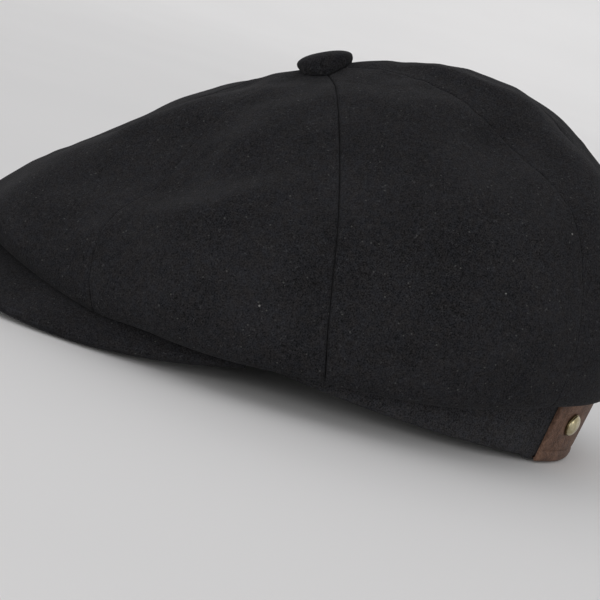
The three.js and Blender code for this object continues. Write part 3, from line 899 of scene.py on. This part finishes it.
def sweatband_section(angle):
    return rounded_section(0, SWEATBAND_OUT, hem(angle) + GAP, BAND_HEIGHT, 3)


def interlining_section(angle):
    low = hem(angle) + INTERLINING_INSET
    return rounded_section(INTERLINING_IN, INTERLINING_OUT, low, BAND_HEIGHT - 1, 2)


# Each strip: its name, node, finish, outline, end angle, number of rings, outer distance, width,
# how it is held and what it rests on. A whole round strip is left open by a hair at the back.
STRIPS = [
    # The band takes the wool that is painted lighter, as painted light against the crown's
    # overhanging shade.
    ("wool_band", "outer_band", MELTON_BAND_PAINTED_LIGHT, band_section, 180, 420, BAND_OUT, BAND_HEIGHT,
     "folded", "canvas_interlining"),
    ("sweatband_strip", "sweatband", GROSGRAIN, sweatband_section, 180, 420, SWEATBAND_OUT,
     BAND_HEIGHT, "stretched", "canvas_interlining"),
    ("canvas_interlining", "band_interlining", CANVAS, interlining_section,
     180 - TAB_HALF_ANGLE - 4, 200, INTERLINING_OUT, BAND_HEIGHT - 1 - INTERLINING_INSET,
     "laid", "sweatband_strip"),
]


def add_bands():
    for name, node, finish, section, reach, rings, out, width, held, rests_on in STRIPS:
        end = min(reach, 179.88)
        loops = []
        for angle in np.linspace(-end, end, rings):
            outs, heights = section(angle)
            loops.append(ring(outs, angle, heights))
        piece = rods_object(name, node, [np.array(loops)], finish)
        angles = np.linspace(-reach, reach, 241)
        low = hem(angles)
        cut = np.stack([ring(out, angles, low), ring(out, angles, 0 * low + width)])


LABEL_HALF_ANGLE = 10
LABEL_BOTTOM = 8
LABEL_HEIGHT = 16
LABEL_FRONT, LABEL_BACK = -0.7, -0.3
STITCH_INSET = 1.2
STITCH_HALF_ANGLE = 9.3
STITCH_COUNT = 13
STITCH_SHARE = 0.6
STITCH_RADIUS = 0.28
STITCH_LIFT = -0.35


def label_stitches():
    """Stitches along the label's lower and upper edges: each rises out and goes in again."""
    made = []
    rise = np.sin(np.linspace(0, np.pi, 6))[:, None] - 0.35
    radii = STITCH_RADIUS * np.array([0.6, 0.9, 1, 1, 0.9, 0.6])[:, None, None]
    turns = np.linspace(0, 2 * np.pi, 7)[:-1, None]
    step = 2 * STITCH_HALF_ANGLE / STITCH_COUNT
    for height in (LABEL_BOTTOM + STITCH_INSET, LABEL_BOTTOM + LABEL_HEIGHT - STITCH_INSET):
        for k in range(STITCH_COUNT):
            angle = 180 - STITCH_HALF_ANGLE + k * step
            start = ring(LABEL_FRONT - 0.02, angle, height)
            along = ring(LABEL_FRONT - 0.02, angle + STITCH_SHARE * step, height) - start
            lift = STITCH_LIFT * unit(ring(0, angle, 0))
            path = start + along * np.linspace(0, 1, 6)[:, None] + lift * rise
            side = unit(np.cross(along, lift))
            circle = np.cos(turns) * side + np.sin(turns) * unit(np.cross(side, along))
            made.append(path[:, None] + radii * circle)
    return made


def add_label():
    u = edge_spaced(14, 33, 1.2)
    angle, height = np.meshgrid(
        180 + LABEL_HALF_ANGLE * (2 * u - 1), LABEL_BOTTOM + LABEL_HEIGHT * np.linspace(0, 1, 12),
    )
    wave = 0.08 * np.sin(angle * 0.9) * np.sin(height * 0.5)
    front = ring(LABEL_FRONT + wave, angle, height)
    back = ring(LABEL_BACK + wave * 0.4, angle, height)
    piece = sheet_object("woven_label", "inner_label", front, back, LABEL, 40)
    rods_object("label_stitches", None, label_stitches(), THREAD)


# ---- the leather tab and rivets ----
TAB_LENGTH = 88
TAB_TAPER = 0.11


def rivet_place(side):
    """A rivet's centre on the leather, and its directions: round the cap, up and outward."""
    angle = 180 - side * RIVET_ANGLE
    turn = math.radians(angle)
    across = (OPENING_HALF_LENGTH + LEATHER_OUT) * math.sin(turn)
    along = -(OPENING_HALF_WIDTH + LEATHER_OUT) * math.cos(turn)
    outward = unit(unit(np.array([across, along, 0])) - [0, 0, lean(angle)])
    around = unit(np.cross([0, 0, 1], outward))
    axes = (around, np.cross(outward, around), outward)
    return ring(LEATHER_OUT, angle, RIVET_HEIGHT), axes


def tab_layer(u, depth):
    """The tab at a depth in the leather: down its face, round the hem and in under the band."""
    straight = np.linspace(TAB_HEIGHT, 0, 26)
    straight = np.concatenate([TAB_HEIGHT - np.array([0, 0.08, 0.2, 0.4, 0.7]), straight[2:]])
    turn = np.radians(np.linspace(0, -90, 10))[1:]
    tail = np.linspace(0, 1, 4)[1:]
    out = np.concatenate([
        np.full(len(straight), BAND_OUT + GAP + depth), BAND_OUT + (GAP + depth) * np.cos(turn),
        BAND_OUT + (BAND_IN - BAND_OUT) * tail,
    ])
    height = np.concatenate([
        straight, (GAP + depth) * np.sin(turn), np.full(len(tail), -GAP - depth),
    ])
    # The end turned under the band is cut narrower than the face.
    under = smoothstep(-height, 0, 1.2) * smoothstep(BAND_OUT - out, -0.4, 1.6)
    angle = 180 + TAB_HALF_ANGLE * (2 * u - 1)[None, :] * (1 - TAB_TAPER * under)[:, None]
    return ring(out[:, None], angle, height[:, None])


def add_tab():
    u = edge_spaced(60, TAB_LENGTH, 1.6)
    front, back = tab_layer(u, LEATHER_OUT - LEATHER_IN), tab_layer(u, 0.0)
    thick = unit(front - back)
    sides = np.minimum(u, 1 - u)[None, :] * TAB_LENGTH
    run = travelled(front[:, 0])
    ends = np.minimum(run, run[-1] - run)[:, None]
    drop = edge_roll(np.minimum(sides, ends), 0.8, 0.7)
    for side in (-1, 1):
        distance = size_of(front - rivet_place(side)[0])
        drop += 0.4 * bell(distance, 6.0) - 0.22 * bell(distance - 8.5, 2.2)
    crease = 0.55 * bell(run - TAB_HEIGHT + 3.4, 0.6)[:, None]
    swell = 0.3 * bell(run - TAB_HEIGHT + 1.2, 1.2)[:, None]
    crease = crease * (1 + 0.3 * np.sin(9 * u))[None, :] - swell
    front = front - (drop + crease * (sides > 0.5))[..., None] * thick
    piece = sheet_object("leather_tab_strap", "leather_tab", front, back, LEATHER, 50)


RIVET_RING = [
    (0, 0.5), (4.1, 0.5), *ellipse_arc((4.5, 0.3), (0.4, 0.42), 150, -10, 12),
    (4.8, -0.05), (4.6, -0.35), (1.4, -0.4), (1.4, -5.1), (0, -5.1),
]
RIVET_CAP = [
    (0, 2.5), *ellipse_arc((0, 0.7), (4.45, 1.8), 87, 8, 20),
    *ellipse_arc((4.2, 0.7), (0.3, 0.3), 40, -80, 6), (0, 0.4),
]


def add_rivets():
    for side, word in ((1, "left"), (-1, "right")):
        centre, axes = rivet_place(side)
        for part, outline, finish in (("ring", RIVET_RING, BRASS_DARK), ("cap", RIVET_CAP, BRASS)):
            name, node = f"rivet_{part}_{word}", f"rivet_{word}"
            turned_object(name, node, outline, centre, axes, finish, 72, 50)


# ---- the brim ----
BRIM_EDGE = [
    (0, -190, -7), (37, -181.5, -9), (69, -154, -15.5), (88, -119, -17.7),
    (94.5, -88, -16.5), (94, -60, -12.4), (91, -39, -7.3), (89, -22, -1.6),
]
BRIM_ROOT = 2.2
BRIM_ROWS_LENGTH = 80
BRIM_EDGE_LENGTH = 560
BRIM_PIPING = (2.4, 2.3)
# The power by which the brim bends down from its root, in front and at its ends
BRIM_CURL = (1.2, 1.75)
BRIM_CURL_ANGLES = (45, 62)
CARD_SHARE = 0.97
CARD_INSET_COLUMNS = 5


def brim_edge(u):
    """The brim's outer edge at shares of its length."""
    left = np.array(BRIM_EDGE, float)
    right = left[:0:-1] * [-1, 1, 1]
    points = np.vstack([right, left])
    t = np.linspace(0, len(points) - 1, 2401)
    run = travelled(open_spline(points, t))
    return open_spline(points, np.interp(u * run[-1], run, t))


def brim_middle(u, v):
    """The brim's middle surface: u from its right end to its left, v from the band outwards."""
    angle = BRIM_SPREAD * (2 * u - 1)
    root = ring(BAND_OUT + 2 * GAP, angle, hem(angle) + BRIM_ROOT)[None]
    tip = brim_edge(u)[None]
    curl = BRIM_CURL[0] + (BRIM_CURL[1] - BRIM_CURL[0]) * smoothstep(abs(angle), *BRIM_CURL_ANGLES)
    point = root + (tip - root) * v[:, None, None]
    point[..., 2] = root[..., 2] + (tip - root)[..., 2] * v[:, None] ** curl[None, :]
    return point


def add_brim():
    u = edge_spaced(150, BRIM_EDGE_LENGTH, 5.5)
    near = EDGE_STEPS * 5.0 / BRIM_ROWS_LENGTH
    v = np.concatenate([np.linspace(0, 1 - near[-1], 36)[:-1], 1 - near[::-1]])
    middle = brim_middle(u, v)
    normals = grid_normals(middle, np.array([0, 0, 1.0]) + 0 * middle)
    normals[0] = [0, 0, 1]
    from_tip = size_of(middle - middle[-1:])
    to_edge = np.minimum(from_tip, np.minimum(*side_distances(middle)))
    outside = BRIM_COVER_OUT - edge_roll(to_edge, *BRIM_PIPING)
    inside = np.minimum(BRIM_COVER_IN, outside - 0.06)
    ripple = 0.25 * np.sin(14 * u[None, :] + 2 * v[:, None]) * np.sin(np.pi * v)[:, None]
    for word, up, wave in (("top", 1, ripple), ("under", -1, -0.5 * ripple)):
        outer = middle + up * (outside + wave)[..., None] * normals
        inner = middle + up * inside[..., None] * normals
        piece = sheet_object(f"wool_brim_{word}", f"brim_{word}_cover", outer, inner, MELTON)
    part = (v < CARD_SHARE, slice(CARD_INSET_COLUMNS, -CARD_INSET_COLUMNS))
    half = BRIM_HALF_BOARD * normals[part]
    sheet_object("brim_card", "brim_board", middle[part] + half, middle[part] - half, CARD)


# ---- the covered button ----
BUTTON_RIM_RADIUS = 1.7
BUTTON_SEAT_RADIUS = 9.5


def seat_heights(skin, turn):
    """How high the crown's cloth lies under the button's rim, at each turn round it."""
    offset = skin - BUTTON_CENTRE
    near = offset[size_of(offset) < 20]
    level = np.stack([near @ BUTTON_ACROSS, near @ BUTTON_FORWARD], -1)
    rim = BUTTON_SEAT_RADIUS * np.stack([np.cos(turn), np.sin(turn)], -1)
    weight = bell(size_of(level - rim[:, None]), 1.2) + 1e-12
    return (weight * (near @ BUTTON_OUTWARD)).sum(1) / weight.sum(1)


def add_button(skin):
    waist = BUTTON_LIFT + BUTTON_WAIST - 0.6
    dome = BUTTON_DOME + 0.8
    over = np.radians(np.linspace(86, 0, 28))
    rim = (BUTTON_RADIUS - BUTTON_RIM_RADIUS, waist)
    outline = [
        (0, waist + dome),
        *zip(BUTTON_RADIUS * np.cos(over) ** 0.8, waist + dome * np.sin(over)),
        *ellipse_arc(rim, (BUTTON_RIM_RADIUS, BUTTON_WAIST), -10, -90, 10),
        (8.4, waist - BUTTON_WAIST + 0.2), (7.8, waist - 1.4), (7.4, waist - 0.6), (0, waist - 0.5),
    ]

    def gather(radius, height, angle):
        """Draws the cover down to the crown all round, and gathers it in pleats."""
        reach = waist - seat_heights(skin, angle[0]) - 0.1
        below = np.minimum(0, height - waist)
        height = np.maximum(height, waist) + below * reach / BUTTON_WAIST
        low = 1 - smoothstep(height, BUTTON_LIFT + 0.2, BUTTON_LIFT + 2.6)
        rim = smoothstep(radius, 6, 11)
        pleats = np.sin(19 * angle) + 0.4 * np.sin(31 * angle + 1)
        soft = 0.12 * np.sin(3 * angle + 0.5) + 0.08 * np.sin(5 * angle + 2)
        return radius + rim * (0.22 * low * pleats + soft), height + 0.1 * low * pleats * rim

    axes = (BUTTON_ACROSS, BUTTON_FORWARD, BUTTON_OUTWARD)
    piece = turned_object(
        "wool_button", "button_cover", outline, BUTTON_CENTRE, axes, MELTON, 144, 70, gather,
    )


def dress_nodes():
    """The CAD's hidden stiff parts keep their shape and take finished materials."""
    for names, (material, _) in (
        (("button_shell", "button_post", "button_washer"), STEEL),
        (("rivet_washer_left", "rivet_washer_right"), BRASS_DARK),
    ):
        for name in names:
            for material_slot in bpy.data.objects[name].material_slots:
                material_slot.material = material


# ---- the studio ----
CAMERA_TURN = math.radians(5)
CAMERA_RISE = math.radians(9.76)
CAMERA_ROLL = math.radians(21.49)
CAMERA_DISTANCE = 1000
CAMERA_SENSOR = 36
CAMERA_LENS = 142.68
# How far to the right of the head opening's middle the camera looks, and how far above it
CAMERA_AIM = (-13.583, 23.591)


def set_place(thing, place, axes):
    """Puts a thing at a place in metres, with its X, Y and Z along the axes."""
    turned = Matrix(np.stack(axes, 1).tolist()).to_4x4()
    thing.matrix_world = Matrix.Translation(np.asarray(place).tolist()) @ turned


def add_camera():
    level = np.array([-math.sin(CAMERA_TURN), math.cos(CAMERA_TURN), 0.0])
    outward = np.cross(level, [0, 0, 1])
    toward = math.cos(CAMERA_RISE) * outward + math.sin(CAMERA_RISE) * np.array([0, 0, 1])
    above = np.cross(toward, level)
    right = math.cos(CAMERA_ROLL) * level + math.sin(CAMERA_ROLL) * above
    top = math.cos(CAMERA_ROLL) * above - math.sin(CAMERA_ROLL) * level
    ahead = unit(-CAMERA_DISTANCE * toward + CAMERA_AIM[0] * right + CAMERA_AIM[1] * top)
    right = unit(right - (right @ ahead) * ahead)
    top = np.cross(right, ahead)
    camera = new_object("camera", bpy.data.cameras.new("camera"))
    camera.data.sensor_width = CAMERA_SENSOR
    camera.data.lens = CAMERA_LENS
    camera.data.clip_start = 0.05
    camera.data.clip_end = 50
    axes = [axis @ BASIS for axis in (right, top, -ahead)]
    set_place(camera, to_row(CAMERA_DISTANCE * toward), axes)
    bpy.context.scene.camera = camera


# The floor and the lights are placed in the row's own frame, in metres.
FLOOR_RADIUS = 3.0
SWEEP_RADIUS = 6.0
SWEEP_ANGLE = 40
FLOOR_STEPS = 96


def add_floor():
    """A sheet of pale paper that sweeps up behind and round the cap."""
    flat = np.linspace(0.15, FLOOR_RADIUS, 24)
    sweep = np.radians(np.linspace(3, SWEEP_ANGLE, 16))
    radii = np.concatenate([flat, FLOOR_RADIUS + SWEEP_RADIUS * np.sin(sweep)])
    heights = np.concatenate([0 * flat, SWEEP_RADIUS * (1 - np.cos(sweep))])
    turn = np.linspace(0, 2 * np.pi, FLOOR_STEPS, endpoint=False)
    points = [(0, 0, 0)]
    for radius, height in zip(radii, heights):
        points += [(radius * x, radius * y, height) for x, y in zip(np.cos(turn), np.sin(turn))]
    faces = [(0, 1 + i, 1 + (i + 1) % FLOOR_STEPS) for i in range(FLOOR_STEPS)]
    faces += tube_faces(len(radii), FLOOR_STEPS, 1, turned=True)
    mesh = new_mesh("studio_floor", points, faces)
    mesh.materials.append(paper())
    mesh.shade_smooth()
    new_object("studio_floor", mesh)


# Each light's place, target, size and power
LIGHTS = {
    "overhead": ((-0.4, 0.1, 2.0), (0, 0, 0), (2.2, 2.2), 1.0),
    "front": ((2.7, -1.0, 0.5), (0, 0, 0.07), (2.2, 1.1), 31),
    "back": ((1.5, 2.2, 0.7), (0, 0, 0.07), (1.4, 0.8), 9),
    "backdrop": ((-4.5, 0, 3.0), (-4.5, 0.01, 0), (4, 6), 50),
}


def add_lights():
    world = bpy.data.worlds.new("studio_world")
    bpy.context.scene.world = world
    world.use_nodes = True
    background = world.node_tree.nodes["Background"]
    background.inputs["Color"].default_value = (0.99, 0.985, 1.0, 1)
    background.inputs["Strength"].default_value = 0.6
    for name, (place, target, size, power) in LIGHTS.items():
        data = bpy.data.lights.new(name, "AREA")
        data.shape = "RECTANGLE"
        data.size, data.size_y = size
        data.energy = power
        back = unit(np.array(place) - target)
        side = unit(np.cross([0, 0, 1.0], back) if abs(back[2]) < 0.99 else LEFT)
        set_place(new_object(name, data), place, [side, np.cross(back, side), back])


add_camera()
crown_skin = add_crown()
add_lining()
add_bands()
add_label()
add_tab()
add_rivets()
add_brim()
add_button(crown_skin)
dress_nodes()
add_floor()
add_lights()
bpy.context.scene.view_settings.view_transform = "Standard"
